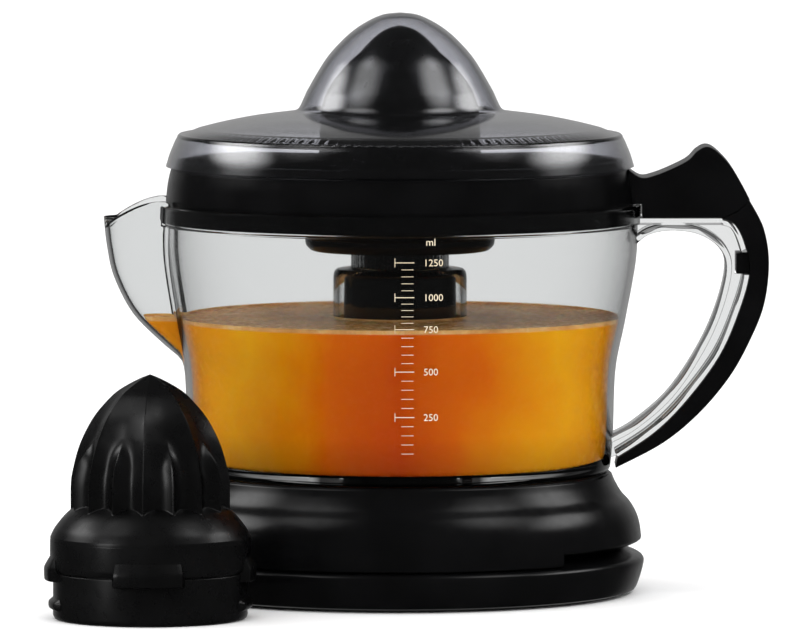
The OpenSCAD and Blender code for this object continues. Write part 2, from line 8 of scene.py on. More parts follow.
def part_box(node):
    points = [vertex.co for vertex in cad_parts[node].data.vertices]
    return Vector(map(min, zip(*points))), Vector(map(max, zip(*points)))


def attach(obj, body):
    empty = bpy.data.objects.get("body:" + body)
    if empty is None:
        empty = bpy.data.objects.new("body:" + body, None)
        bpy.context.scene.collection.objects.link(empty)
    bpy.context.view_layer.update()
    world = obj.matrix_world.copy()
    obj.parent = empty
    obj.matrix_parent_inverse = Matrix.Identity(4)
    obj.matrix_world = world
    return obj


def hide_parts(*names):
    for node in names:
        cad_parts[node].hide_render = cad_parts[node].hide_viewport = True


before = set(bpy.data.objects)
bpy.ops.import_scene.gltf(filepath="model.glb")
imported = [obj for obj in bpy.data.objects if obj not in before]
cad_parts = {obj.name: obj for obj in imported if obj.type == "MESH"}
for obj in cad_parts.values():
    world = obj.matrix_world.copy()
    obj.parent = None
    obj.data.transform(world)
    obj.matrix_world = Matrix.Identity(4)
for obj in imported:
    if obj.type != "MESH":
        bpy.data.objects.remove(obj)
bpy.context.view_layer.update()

MM = 0.001


def lowest(node, axis=2):
    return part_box(node)[0][axis] / MM


def highest(node, axis=2):
    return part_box(node)[1][axis] / MM


FOOT_R = highest("bottom_cover", 0)
BASE_TOP = lowest("jug") - 0.3
TOWER_TOP = highest("base_housing")
TOWER_R = 21.5
JUG_Z = BASE_TOP + 1.0
RIM_R = highest("jug", 1)
JUG_R = RIM_R - 11.4
JUG_H = 100.2
JUG_TOP = JUG_Z + JUG_H
WALL = 2.4
COLUMN_R = 25.2
NECK_R = 18.6
COLUMN_H = 75.9
NECK_H = 94.5
JUICE_H = 57.2
LID_Z = lowest("lid")
LID_TOP = highest("lid")
BAND_TOP = LID_Z - 0.4
REAMER_Z = 147.0
REAMER_TOP = highest("small_reamer")
SPARE_X = (lowest("large_reamer", 0) + highest("large_reamer", 0)) / 2
SPARE_Y = (lowest("large_reamer", 1) + highest("large_reamer", 1)) / 2
SPARE_H = highest("large_reamer")
GRIP_W = highest("handle_cover", 1) - lowest("handle_cover", 1)
FRONT = 1.5 * math.pi


# ---------------------------------------------------------------- curves

def smooth(points, steps=5):
    """A smooth curve through the points, with a number of steps from each to the next."""
    p = [Vector(q) for q in points]
    last = len(p) - 1
    out = []
    for i in range(last):
        a, b, c, d = p[max(i - 1, 0)], p[i], p[i + 1], p[min(i + 2, last)]
        for k in range(steps):
            t = k / steps
            out.append((2 * b + (c - a) * t + (2 * a - 5 * b + 4 * c - d) * t * t
                        + (3 * b - a - 3 * c + d) * t ** 3) / 2)
    return out + [p[last]]


def shifted(path, distance):
    """The path moved sideways, to its right for a positive distance."""
    out = []
    for i, q in enumerate(path):
        d = path[min(i + 1, len(path) - 1)] - path[max(i - 1, 0)]
        out.append(q + distance * Vector((d.y, -d.x)).normalized())
    return out


def off_axis(path):
    """The path with nothing on the far side of the axis."""
    return [Vector((max(q.x, 0.0), q.y)) for q in path]


def rounded(corners, steps=4):
    """A closed outline. A corner of three numbers is rounded over the third; the others stay."""
    out = []
    for i, corner in enumerate(corners):
        here = Vector(corner[:2])
        if len(corner) == 2:
            out.append(here)
            continue
        before = Vector(corners[i - 1][:2]) - here
        after = Vector(corners[(i + 1) % len(corners)][:2]) - here
        reach = min(corner[2], 0.48 * before.length, 0.48 * after.length)
        a = here + before.normalized() * reach
        b = here + after.normalized() * reach
        for k in range(steps + 1):
            t = k / steps
            out.append(a * (1 - t) ** 2 + here * 2 * t * (1 - t) + b * t * t)
    return out


def at_height(path, height):
    """First coordinate of an upward path at a height."""
    if height <= path[0].y:
        return path[0].x
    for a, b in zip(path, path[1:]):
        if a.y <= height <= b.y:
            return a.x + (b.x - a.x) * (height - a.y) / max(b.y - a.y, 1e-9)
    return path[-1].x


def ease(value, start, end):
    """0 before start, 1 after end, and a smooth step between."""
    t = min(max((value - start) / (end - start), 0.0), 1.0)
    return t * t * (3 - 2 * t)


def spaced(start, end, count):
    """Evenly spaced numbers from start to end."""
    return [start + (end - start) * i / (count - 1) for i in range(count)]


# ---------------------------------------------------------------- meshes

def skin(loops, wrap=True, caps=False):
    """A skin over closed loops of points. The last loop joins the first if wrap is set."""
    bm = bmesh.new()
    rows = [[bm.verts.new(Vector(p) * MM) for p in loop] for loop in loops]
    count = len(loops[0])
    for a, b in zip(rows, rows[1:] + (rows[:1] if wrap else [])):
        for i in range(count):
            j = (i + 1) % count
            bm.faces.new((a[i], a[j], b[j], b[i]))
    if caps:
        bm.faces.new(rows[0])
        bm.faces.new(reversed(rows[-1]))
    bmesh.ops.remove_doubles(bm, verts=bm.verts, dist=2e-7)
    bmesh.ops.recalc_face_normals(bm, faces=bm.faces)
    return bm


def around(r, angle, z, x=0.0, y=0.0):
    return Vector((x + r * math.cos(angle), y + r * math.sin(angle), z))


def lathe(outline, segments=256, x=0.0, y=0.0, move=None):
    """Turns a closed outline round an upright axis. move(r, z, angle) may shift a point's radius."""
    loops = []
    for k in range(segments):
        a = 2 * math.pi * k / segments
        loops.append([around(move(q[0], q[1], a) if move else q[0], a, q[1], x, y) for q in outline])
    return skin(loops)


def prism(outline, width, bevel=0.0, steps=4):
    """An outline in the X-Z plane, as thick as width along Y, with its side edges rounded."""
    bm = skin([[(q[0], y, q[1]) for q in outline] for y in (-width / 2, width / 2)],
              wrap=False, caps=True)
    if bevel:
        edges = [e for e in bm.edges if e.calc_face_angle(0) > math.radians(60)]
        bmesh.ops.bevel(bm, geom=edges, offset=bevel * MM, segments=steps, profile=0.5,
                        affect="EDGES", clamp_overlap=True)
    return bm


def strip(path, thickness, width, bevel=0.0):
    return prism(path + shifted(path, thickness)[::-1], width, bevel, 2)


def block(low, high, bevel=0.0):
    bm = bmesh.new()
    bmesh.ops.create_cube(bm, size=1)
    for v in bm.verts:
        v.co = Vector((low[i] + (high[i] - low[i]) * (v.co[i] + 0.5)) * MM for i in range(3))
    if bevel:
        bmesh.ops.bevel(bm, geom=bm.edges, offset=bevel * MM, segments=2, profile=0.5, affect="EDGES")
    return bm


def rod(radius, low, high, segments=48):
    """A plain round cutter from one end's centre to the other's."""
    bm = bmesh.new()
    a, b = Vector(low) * MM, Vector(high) * MM
    bmesh.ops.create_cone(bm, cap_ends=True, segments=segments, radius1=radius * MM,
                          radius2=radius * MM, depth=(b - a).length)
    turn = (b - a).to_track_quat("Z", "Y").to_matrix().to_4x4()
    bmesh.ops.transform(bm, matrix=turn, verts=bm.verts)
    bmesh.ops.translate(bm, vec=(a + b) / 2, verts=bm.verts)
    return bm


def merged(*parts):
    """One bmesh that holds several, each still its own shell."""
    whole = bmesh.new()
    for part in parts:
        mesh = bpy.data.meshes.new("part")
        part.to_mesh(mesh)
        part.free()
        whole.from_mesh(mesh)
        bpy.data.meshes.remove(mesh)
    return whole


def solid(bm):
    mesh = bpy.data.meshes.new("solid")
    bm.to_mesh(mesh)
    bm.free()
    obj = bpy.data.objects.new("solid", mesh)
    bpy.context.scene.collection.objects.link(obj)
    return obj


def carved(bm, operation, *tools):
    """The solid after joining, cutting or intersecting it with each tool in turn."""
    obj = solid(bm)
    for tool_mesh in tools:
        tool = solid(tool_mesh)
        step = obj.modifiers.new("carve", "BOOLEAN")
        step.operation = operation
        step.solver = "EXACT"
        step.object = tool
        graph = bpy.context.evaluated_depsgraph_get()
        result = bpy.data.meshes.new_from_object(obj.evaluated_get(graph))
        obj.modifiers.clear()
        obj.data = result
        bpy.data.objects.remove(tool)
    out = bmesh.new()
    out.from_mesh(obj.data)
    bpy.data.objects.remove(obj)
    return out


def piece(name, bm, material, body, replaced=(), sharp=34):
    """Finishes a mesh as a piece of the object: shaded smooth but for edges sharper than an angle."""
    for f in bm.faces:
        f.smooth = True
    for e in bm.edges:
        e.smooth = len(e.link_faces) == 2 and e.calc_face_angle(0) < math.radians(sharp)
    mesh = bpy.data.meshes.new(name)
    bm.to_mesh(mesh)
    bm.free()
    obj = bpy.data.objects.new(name, mesh)
    bpy.context.scene.collection.objects.link(obj)
    mesh.materials.append(material)
    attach(obj, body)
    if replaced:
        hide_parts(*replaced)
    return obj


# ---------------------------------------------------------------- materials

class Look:
    """A procedural material under construction: a Principled shader fed by noise."""

    def __init__(self, name, colour, roughness, **inputs):
        self.mat = bpy.data.materials.new(name)
        self.mat.use_nodes = True
        self.nodes, self.links = self.mat.node_tree.nodes, self.mat.node_tree.links
        self.nodes.clear()
        self.out = self.nodes.new("ShaderNodeOutputMaterial")
        self.shader = self.nodes.new("ShaderNodeBsdfPrincipled")
        self.links.new(self.shader.outputs["BSDF"], self.out.inputs["Surface"])
        self.shader.inputs["Base Color"].default_value = (*colour, 1)
        self.shader.inputs["Roughness"].default_value = roughness
        for key, value in inputs.items():
            self.shader.inputs[key.replace("_", " ")].default_value = value
        self.coords = self.nodes.new("ShaderNodeTexCoord").outputs["Object"]
        self.relief = None

    def noise(self, scale, detail=3.0, stretch=None, rough=0.5):
        """Noise with features of about 1 / scale metres, drawn out along an axis by stretch."""
        where = self.coords
        if stretch:
            mapping = self.nodes.new("ShaderNodeMapping")
            mapping.inputs["Scale"].default_value = stretch
            self.links.new(where, mapping.inputs["Vector"])
            where = mapping.outputs["Vector"]
        n = self.nodes.new("ShaderNodeTexNoise")
        n.inputs["Scale"].default_value = scale
        n.inputs["Detail"].default_value = detail
        n.inputs["Roughness"].default_value = rough
        self.links.new(where, n.inputs["Vector"])
        return n.outputs["Fac"]

    def ranged(self, value, low, high, start=0.3, end=0.7):
        r = self.nodes.new("ShaderNodeMapRange")
        for key, v in (("From Min", start), ("From Max", end), ("To Min", low), ("To Max", high)):
            r.inputs[key].default_value = v
        self.links.new(value, r.inputs["Value"])
        return r.outputs["Result"]

    def ramp(self, value, *stops):
        """A colour ramp of (position, (r, g, b)) stops."""
        r = self.nodes.new("ShaderNodeValToRGB")
        bar = r.color_ramp.elements
        while len(bar) < len(stops):
            bar.new(0.5)
        for element, (place, colour) in zip(bar, stops):
            element.position = place
            element.color = (*colour, 1)
        self.links.new(value, r.inputs["Fac"])
        return r.outputs["Color"]

    def mixed(self, blend, factor, a, b):
        """Two colours blended; the factor is a number or a node's output."""
        m = self.nodes.new("ShaderNodeMix")
        m.data_type = "RGBA"
        m.blend_type = blend
        if isinstance(factor, float):
            m.inputs[0].default_value = factor
        else:
            self.links.new(factor, m.inputs[0])
        self.links.new(a, m.inputs[6])
        self.links.new(b, m.inputs[7])
        return m.outputs[2]

    def along(self, axis):
        """Distance along an axis of the object, in metres."""
        split = self.nodes.new("ShaderNodeSeparateXYZ")
        self.links.new(self.coords, split.inputs["Vector"])
        return split.outputs[axis]

    def colour(self, output):
        self.links.new(output, self.shader.inputs["Base Color"])

    def rough(self, output):
        self.links.new(output, self.shader.inputs["Roughness"])

    def bump(self, value, strength, distance):
        b = self.nodes.new("ShaderNodeBump")
        b.inputs["Strength"].default_value = strength
        b.inputs["Distance"].default_value = distance
        self.links.new(value, b.inputs["Height"])
        if self.relief:
            self.links.new(self.relief, b.inputs["Normal"])
        self.relief = b.outputs["Normal"]
        self.links.new(self.relief, self.shader.inputs["Normal"])

    def let_lamps_through(self, tint):
        """Shadow rays pass as if the wall were not there, but for its tint."""
        clear = self.nodes.new("ShaderNodeBsdfTransparent")
        clear.inputs["Color"].default_value = (*tint, 1)
        path = self.nodes.new("ShaderNodeLightPath")
        mix = self.nodes.new("ShaderNodeMixShader")
        self.links.new(path.outputs["Is Shadow Ray"], mix.inputs[0])
        self.links.new(self.shader.outputs["BSDF"], mix.inputs[1])
        self.links.new(clear.outputs["BSDF"], mix.inputs[2])
        self.links.new(mix.outputs["Shader"], self.out.inputs["Surface"])


def moulded(name, dark, light, rough_low, rough_high, grain, grain_depth, **inputs):
    """Moulded plastic: two close tones, an uneven gloss, fine grain and a faint sink wave."""
    look = Look(name, dark, rough_low, **inputs)
    look.colour(look.ramp(look.noise(60), (0.35, dark), (0.7, light)))
    look.rough(look.ranged(look.noise(220, 5), rough_low, rough_high))
    look.bump(look.noise(grain, 2), 0.25, grain_depth)
    look.bump(look.noise(22, 1), 0.3, 0.00012)
    return look.mat


def metal(name, dark, light, rough, stretch=None, scale=300):
    look = Look(name, dark, rough, Metallic=1.0)
    look.colour(look.ramp(look.noise(scale, 4, stretch), (0.3, dark), (0.75, light)))
    look.rough(look.ranged(look.noise(scale * 1.7, 4, stretch), rough - 0.08, rough + 0.14))
    look.bump(look.noise(scale * 2.5, 3, stretch), 0.25, 0.00004)
    return look.mat


def clear_plastic(name, colour, rough, tint, **inputs):
    look = Look(name, colour, rough, Transmission_Weight=1.0, IOR=1.49, **inputs)
    look.rough(look.ranged(look.noise(35, 3), rough, rough + 0.04))
    look.bump(look.noise(28, 1), 0.2, 0.00015)
    look.let_lamps_through(tint)
    return look.mat


black_gloss = moulded("black_gloss", (0.0018, 0.0018, 0.002), (0.003, 0.003, 0.0033), 0.19, 0.27,
                      1500, 0.00002, Specular_IOR_Level=0.38)
black_satin = moulded("black_satin", (0.002, 0.002, 0.0021), (0.0034, 0.0034, 0.0036), 0.24, 0.34,
                      1900, 0.00003, Specular_IOR_Level=0.38)
cone_black = moulded("cone_black", (0.0024, 0.0024, 0.0025), (0.0036, 0.0036, 0.0038), 0.2, 0.28,
                     1500, 0.00002, Specular_IOR_Level=0.45)
rubber = moulded("foot_rubber", (0.014, 0.014, 0.014), (0.03, 0.03, 0.029), 0.6, 0.85, 2600, 0.00008)
clear = clear_plastic("clear_jug", (0.955, 0.965, 0.965), 0.015, (0.93, 0.945, 0.945))
smoke = clear_plastic("smoke_lid", (0.8, 0.805, 0.845), 0.04, (0.7, 0.705, 0.74), Coat_Weight=1.0,
                      Coat_Roughness=0.12)
steel = metal("turned_steel", (0.42, 0.42, 0.44), (0.66, 0.66, 0.67), 0.24, (1, 1, 30))
plated = metal("zinc_plate", (0.44, 0.46, 0.5), (0.62, 0.64, 0.66), 0.3)
laminated = metal("laminations", (0.12, 0.12, 0.13), (0.36, 0.36, 0.37), 0.4, (0.2, 0.2, 14), 200)
copper = metal("coil_wire", (0.42, 0.13, 0.05), (0.75, 0.33, 0.16), 0.3, (0.3, 14, 0.3), 200)
brass = metal("stamped_brass", (0.55, 0.38, 0.13), (0.78, 0.58, 0.26), 0.28)
bronze = metal("sintered_bronze", (0.33, 0.21, 0.09), (0.6, 0.42, 0.2), 0.45, None, 1600)
ferrite = metal("ferrite", (0.03, 0.03, 0.032), (0.07, 0.07, 0.075), 0.5, None, 1400)
switch_black = moulded("switch_black", (0.012, 0.013, 0.015), (0.025, 0.026, 0.03), 0.35, 0.5,
                       1700, 0.00004)
white_acetal = moulded("white_acetal", (0.74, 0.74, 0.71), (0.83, 0.83, 0.8), 0.3, 0.45, 1500, 0.00003,
                       Subsurface_Weight=0.2)
ivory_acetal = moulded("ivory_acetal", (0.68, 0.61, 0.46), (0.78, 0.72, 0.57), 0.32, 0.46, 1500, 0.00003,
                       Subsurface_Weight=0.2)
grey_acetal = moulded("grey_acetal", (0.2, 0.205, 0.21), (0.28, 0.285, 0.29), 0.3, 0.45, 1500, 0.00003)
red_plastic = moulded("red_plastic", (0.4, 0.03, 0.025), (0.52, 0.05, 0.04), 0.3, 0.42, 1500, 0.00003)


def juice_look():
    """Orange juice: deep orange in the middle and yellower towards the sides as painted light shining through
    from the sides, painted shade towards the bottom, a pale line at the surface.
    """
    look = Look("orange_juice", (0.7, 0.2, 0.002), 0.2, IOR=1.35, Specular_IOR_Level=0.1,
                Subsurface_Weight=0.25, Subsurface_Radius=(0.012, 0.004, 0.001), Subsurface_Scale=0.5)
    # Painted light: the colour runs from deep orange in the middle to lighter and yellower towards the sides,
    # by distance from the middle along X with a little noise.
    aside = look.nodes.new("ShaderNodeMath")
    aside.operation = "ABSOLUTE"
    look.links.new(look.along("X"), aside.inputs[0])
    side_light_mask = look.nodes.new("ShaderNodeMath")
    side_light_mask.operation = "MULTIPLY_ADD"
    look.links.new(look.noise(18, 3), side_light_mask.inputs[0])
    side_light_mask.inputs[1].default_value = 0.05
    look.links.new(aside.outputs["Value"], side_light_mask.inputs[2])
    body = look.ramp(look.ranged(side_light_mask.outputs["Value"], 0, 1, 0.02, 0.1),
                     (0.0, (0.66, 0.06, 0.0006)), (0.4, (0.85, 0.16, 0.0012)), (0.75, (1.0, 0.44, 0.006)),
                     (1.0, (0.92, 0.32, 0.003)))
    depth = look.ranged(look.along("Z"), 0.0, 1.0, JUG_Z * MM, (JUG_Z + JUICE_H) * MM)
    # Painted shade: a grey that darkens the juice towards the bottom of the jug.
    low_shade = look.ramp(depth, (0.0, (0.5, 0.46, 0.4)), (0.3, (0.92, 0.9, 0.8)), (0.9, (1, 1, 1)))
    foam = look.ramp(look.noise(75, 7, (1, 1, 0.5), 0.7), (0.3, (0.6, 0.24, 0.07)),
                     (0.55, (0.86, 0.45, 0.16)), (0.72, (0.98, 0.7, 0.38)))
    shaded = look.mixed("MULTIPLY", 1.0, body, low_shade)
    look.colour(look.mixed("MIX", look.ranged(depth, 0, 1, 0.984, 0.994), shaded, foam))
    look.rough(look.ranged(look.noise(300, 4), 0.16, 0.34))
    look.bump(look.noise(420, 5, None, 0.65), 0.25, 0.0002)
    return look.mat


juice_orange = juice_look()
print_gold = moulded("printed_marks", (0.62, 0.5, 0.33), (0.78, 0.68, 0.5), 0.35, 0.5, 3000, 0.00001)


# ---------------------------------------------------------------- base

BELL = smooth([(FOOT_R - 1.0, 20.9), (FOOT_R - 1.6, 25.6), (FOOT_R - 2.9, 29.8),
               (FOOT_R - 5.3, BASE_TOP - 11.6), (FOOT_R - 8.5, BASE_TOP - 8.0),
               (FOOT_R - 10.9, BASE_TOP - 3.9), (FOOT_R - 12.2, BASE_TOP - 0.9)], 7)
GROOVE_HALF = math.radians(42)
RING_IN, RING_OUT = 77, 85
GLAND_Z = 8.6
SCREW_DEGREES = (30, 150, 210, 330)


def housing():
    """The bell with its tower. Its lower edge comes down to the foot over the front sector."""
    lining = [q for q in shifted(BELL, -WALL) if q.y < BASE_TOP - 2.6]
    upper = rounded([(q.x, q.y) for q in BELL] + [
        (FOOT_R - 13.3, BASE_TOP, 0.5), (TOWER_R + 2.2, BASE_TOP, 2.0), (TOWER_R, BASE_TOP + 2.2, 2.0),
        (TOWER_R - 0.3, TOWER_TOP, 1.2), (7.05, TOWER_TOP, 0.4), (7.05, TOWER_TOP - 3),
        (TOWER_R - WALL, TOWER_TOP - 3), (TOWER_R - WALL, BASE_TOP - 2.5),
        (lining[-1].x, BASE_TOP - 2.5)] + [(q.x, q.y) for q in lining[::-1]]
        + [(FOOT_R - 4.8, 21.2), (FOOT_R - 8.6, 19.8), (FOOT_R - 10.7, 19.8), (FOOT_R - 10.7, 17.2)])
    open_edge = [(FOOT_R - 8.1, 17.2), (FOOT_R - 3.2, 19.1), (FOOT_R - 1.7, 19.8), (FOOT_R - 1.15, 20.3)]
    closed_edge = [(FOOT_R - 8.1, 17.2), (FOOT_R - 2.2, 14.95), (FOOT_R - 1.3, 15.3),
                   (FOOT_R - 0.95, 16.2)]
    start, end = FRONT - GROOVE_HALF, FRONT + GROOVE_HALF
    angles = [(a, closed_edge) for a in spaced(start, end, 72)]
    angles += [(a, open_edge) for a in spaced(end, FRONT + 2 * math.pi - GROOVE_HALF, 200)]
    loops = [[around(q[0], a, q[1]) for q in list(upper) + edge] for a, edge in angles]
    return skin(loops)


def foot():
    """The round foot, with a channel for the rubber ring, the gland's bore and the screw holes."""
    flank = smooth([(FOOT_R - 3.4, 1.4), (FOOT_R - 2.5, 3.0), (FOOT_R - 1.1, 7.0), (FOOT_R, 11.6),
                    (FOOT_R - 0.6, 13.5), (FOOT_R - 2.3, 14.6)], 6)
    outline = rounded([(0, 0.8), (RING_IN, 0.8), (RING_IN, 2.0), (RING_OUT, 2.0), (RING_OUT, 0.8),
                       (FOOT_R - 4.9, 0.8, 1.0)]
                      + [(q.x, q.y) for q in flank]
                      + [(FOOT_R - 8.1, 16.9), (FOOT_R - 11, 16.9), (FOOT_R - 11, 20.5, 0.5),
                         (FOOT_R - 13, 20.5, 0.5), (FOOT_R - 13, 14.8), (FOOT_R - 8.5, 14.6),
                         (FOOT_R - 3.6, 12.2), (FOOT_R - 2.5, 11), (FOOT_R - 4.2, 5.4),
                         (FOOT_R - 6.2, 3.3), (0, 3.3)])
    cuts = [rod(4.8, (0, FOOT_R - 9, GLAND_Z), (0, FOOT_R + 4, GLAND_Z)),
            rod(6.3, (0, FOOT_R - 12, GLAND_Z), (0, FOOT_R - 4, GLAND_Z))]
    for degrees in SCREW_DEGREES:
        a = math.radians(degrees)
        cuts.append(rod(3.4, around(70, a, 0), around(70, a, 3.0)))
    return carved(lathe(outline, 320), "DIFFERENCE", *cuts)


piece("housing", housing(), black_gloss, "motor_base", ["base_housing"])
piece("foot", foot(), black_gloss, "motor_base", ["bottom_cover"])


# ---------------------------------------------------------------- jug

SIDE = smooth([(JUG_R, 1.2), (JUG_R + 1.0, 14), (JUG_R + 1.9, 37.5), (JUG_R + 5.5, 56.1),
               (JUG_R + 9.5, 78.5), (JUG_R + 10.2, 92.5)], 8)
SIDE_IN = shifted(SIDE, -WALL)
SPOUT_BACK = 66.0
SPOUT_HALF_W = 24.0
SPOUT_START = 34.0
SPOUT_FRONT = smooth([(78, 34), (81.8, 40.6), (89.3, 47), (100.7, 58.4), (107.9, 72.1),
                      (110.6, 83.5), (111.9, 95), (112.4, 106)], 8)
SPOUT_FRONT_IN = shifted(SPOUT_FRONT, -2.0)
SPOUT_LIP = smooth([(84, 101.4), (88.5, 102.5), (97.7, 100.8), (107.5, 95.7), (113.4, 90.0)], 6)


def spout_radius(turn, height, wall):
    """Distance from the axis to the spout's wall, turn radians off the spout's middle."""
    if height <= SPOUT_START:
        return 0.0
    front = at_height(SPOUT_FRONT_IN if wall else SPOUT_FRONT, height)
    half = 7 + (SPOUT_HALF_W - 7) * ((height - 30) / (JUG_H - 30)) ** 0.8 - wall
    deep = front - SPOUT_BACK
    c, s = math.cos(turn) / deep, math.sin(turn) / half
    a, b = c * c + s * s, -2 * SPOUT_BACK * c / deep
    rest = b * b - 4 * a * ((SPOUT_BACK / deep) ** 2 - 1)
    if math.cos(turn) < 0.5 or rest < 0:
        return 0.0
    return (math.sqrt(rest) - b) / (2 * a)


def blended(a, b, width):
    """The larger of two radii, with a rounded corner where they cross."""
    if abs(a - b) > 4 * width:
        return max(a, b)
    return (a + b + math.sqrt((a - b) ** 2 + width * width)) / 2 - width / 9


def off_spout(angle):
    """Radians between a direction and the spout, which points to -X."""
    return abs(math.remainder(angle - math.pi, 2 * math.pi))


def outer_wall(angle, height):
    rim = ease(height, 92.4, 93.2)
    r = at_height(SIDE, height) * (1 - rim) + RIM_R * rim
    return blended(r, spout_radius(off_spout(angle), height, 0), 1.4)


def inner_wall(angle, height):
    rim = ease(height, 92.6, 93.1)
    r = at_height(SIDE_IN, height) * (1 - rim) + (RIM_R - 2.4) * rim
    return blended(r, spout_radius(off_spout(angle), height, 2.0), 1.0)


def lip_height(angle):
    """Height of the rim, which follows the spout's lip where the spout stands out."""
    turn = off_spout(angle)
    height = JUG_H
    for _ in range(6):
        reach = spout_radius(turn, min(height, 105), 0)
        out = ease(reach, RIM_R - 1.5, RIM_R + 3.5)
        x = max(reach, RIM_R) * math.cos(turn)
        along = [Vector((q.y, q.x)) for q in SPOUT_LIP]
        height = JUG_H * (1 - out) + at_height(along, x) * out
    return height


def jug_column(angle):
    """One upright slice of the jug: outside, lip, inside, floor and central column."""
    lip = lip_height(angle)
    outside = spaced(1.2, 90, 46) + spaced(91, 94.4, 12) + spaced(95.4, lip - 0.7, 6)
    inside = spaced(lip - 0.7, 94.4, 7) + spaced(93.6, 91.5, 8) + spaced(90, 5.5, 44)
    out = [(76.1, 0.0), (76.1, -0.7), (78.4, -0.7), (78.9, -0.2), (JUG_R - 0.4, 0.4)]
    out += [(outer_wall(angle, h), h) for h in outside]
    r_out, r_in = outer_wall(angle, lip - 0.7), inner_wall(angle, lip - 0.7)
    out += [(r_out - 0.12, lip - 0.3), (r_out - 0.5, lip), (r_in + 0.5, lip),
            (r_in + 0.12, lip - 0.3)]
    out += [(inner_wall(angle, h), h) for h in inside]
    r_in = inner_wall(angle, 5.5)
    out += [(r_in - 0.2, 4.4), (r_in - 0.9, 3.2), (r_in - 2.2, 2.6), (r_in - 3.6, 2.5), (60, 2.5),
            (40, 2.5), (COLUMN_R + 2.4, 2.5), (COLUMN_R + 0.8, 3.1), (COLUMN_R, 4.8)]
    out += [(COLUMN_R, h) for h in spaced(8, COLUMN_H - 3, 10)]
    out += [(COLUMN_R - 0.35, COLUMN_H - 1.4), (COLUMN_R - 1.3, COLUMN_H - 0.35),
            (COLUMN_R - 3, COLUMN_H), (NECK_R + 0.6, COLUMN_H)]
    ridge = 0.28 * (0.5 + 0.5 * math.cos(60 * angle)) ** 2
    out += [(NECK_R - 0.1 - ridge, h) for h in spaced(COLUMN_H + 0.4, NECK_H - 0.6, 6)]
    out += [(NECK_R - 0.8, NECK_H), (6.3, NECK_H), (6.3, NECK_H - 2), (NECK_R - 2.2, NECK_H - 2),
            (NECK_R - 2.2, COLUMN_H - 2.2), (COLUMN_R - 2.2, COLUMN_H - 2.2), (COLUMN_R - 2.2, 0)]
    return [around(r, angle, JUG_Z + h) for r, h in out]


def raised(points, steps=6):
    return smooth([(x, JUG_Z + h) for x, h in points], steps)


OPENING = raised([(88, 84.5), (94, 89.1), (103, 90.6), (113, 89), (120.6, 83.6), (122.7, 75.5),
                  (119, 60.5), (112, 45.2), (101, 29), (88, 17.6), (79, 12.6)])
GRIP = raised([(82.2, 5), (96, 14.2), (108, 26.2), (120.5, 43.2), (128, 60.5), (131.8, 75),
               (130, 85.6), (126.4, 93), (121.4, 95.1)])
BACK = raised([(81.3, 1), (99.2, 10.5), (112.9, 21.9), (124.3, 35.6), (131.9, 49.3), (137.2, 62.9),
               (139, 78.5), (137, 91.6), (131.8, 101.8)])


def web():
    """The clear web of the handle: a thin rib with a flange along each edge."""
    rib = prism(OPENING + [Vector((79.5, JUG_Z + 4))] + GRIP + [Vector((89, JUG_Z + 95.1))], 3)
    top = prism([(88, JUG_Z + 92.7), (122, JUG_Z + 92.7), (121.4, JUG_Z + 95.1), (88, JUG_Z + 95.1)], 20)
    flanges = [strip(OPENING, -WALL, 20, 0.5), strip(GRIP, -WALL, 20, 0.5)]
    window = block((126.4, -20, JUG_Z + 73.8), (134.4, 20, JUG_Z + 82.4))
    return carved(carved(rib, "UNION", top, *flanges), "DIFFERENCE", window)


def jug_angles():
    """Directions round the jug, close together where the spout's sides run nearly straight out."""
    near = math.radians(21)
    rest = spaced(math.pi + near, 3 * math.pi - near, 301)
    return spaced(math.pi - near, math.pi + near, 241) + rest[1:-1]


def jug():
    body = skin([jug_column(a) for a in jug_angles()])
    return carved(body, "UNION", web())


def scale_marks():
    """Printed volume marks on the front wall: a bracket and a number at each 250 ml, ticks between."""
    parts = []
    heights = {250: 25.5, 500: 42.5, 750: 58.5, 1000: 70.5, 1250: 83.5}
    bar_lengths = 6

    def on_wall(bm):
        for v in bm.verts:
            x, up, out = v.co.x / MM, v.co.y / MM, v.co.z / MM
            r = at_height(SIDE, up) + out
            v.co = around(r, FRONT + x / r, JUG_Z + up) * MM
        return bm

    def line(x0, x1, h0, h1):
        """A flat bar in short lengths, so that it follows the wall."""
        ends = spaced(x0, x1, bar_lengths + 1)
        blocks = [block((a, h0, 0.01), (b, h1, 0.06)) for a, b in zip(ends, ends[1:])]
        parts.append(on_wall(merged(*blocks)))

    def number(words, x, h, size=3.7):
        curve = bpy.data.curves.new("number", "FONT")
        curve.body = words
        curve.size = size
        curve.extrude = 0.025
        curve.resolution_u = 3
        obj = bpy.data.objects.new("number", curve)
        bpy.context.scene.collection.objects.link(obj)
        graph = bpy.context.evaluated_depsgraph_get()
        mesh = bpy.data.meshes.new_from_object(obj.evaluated_get(graph))
        bpy.data.objects.remove(obj)
        bm = bmesh.new()
        bm.from_mesh(mesh)
        for v in bm.verts:
            v.co = Vector(((x + v.co.x) * MM, (h + v.co.y) * MM, (v.co.z + 0.035) * MM))
        parts.append(on_wall(bm))

    marks = sorted(heights.values())
    for volume, h in heights.items():
        line(-2, 5.3, h - 0.15, h + 0.15)
        line(-2, -1.75, h - 1.6, h + 1.6)
        number(str(volume), 8.7, h - 1.3)
    for low, high in zip([marks[0] - 17] + marks, marks):
        for k in range(1, 5):
            h = low + (high - low) * k / 5
            line(0.5, 5.0, h - 0.1, h + 0.1)
    number("ml", 9.5, 91 - 1.2, 3.9)
    return merged(*parts)


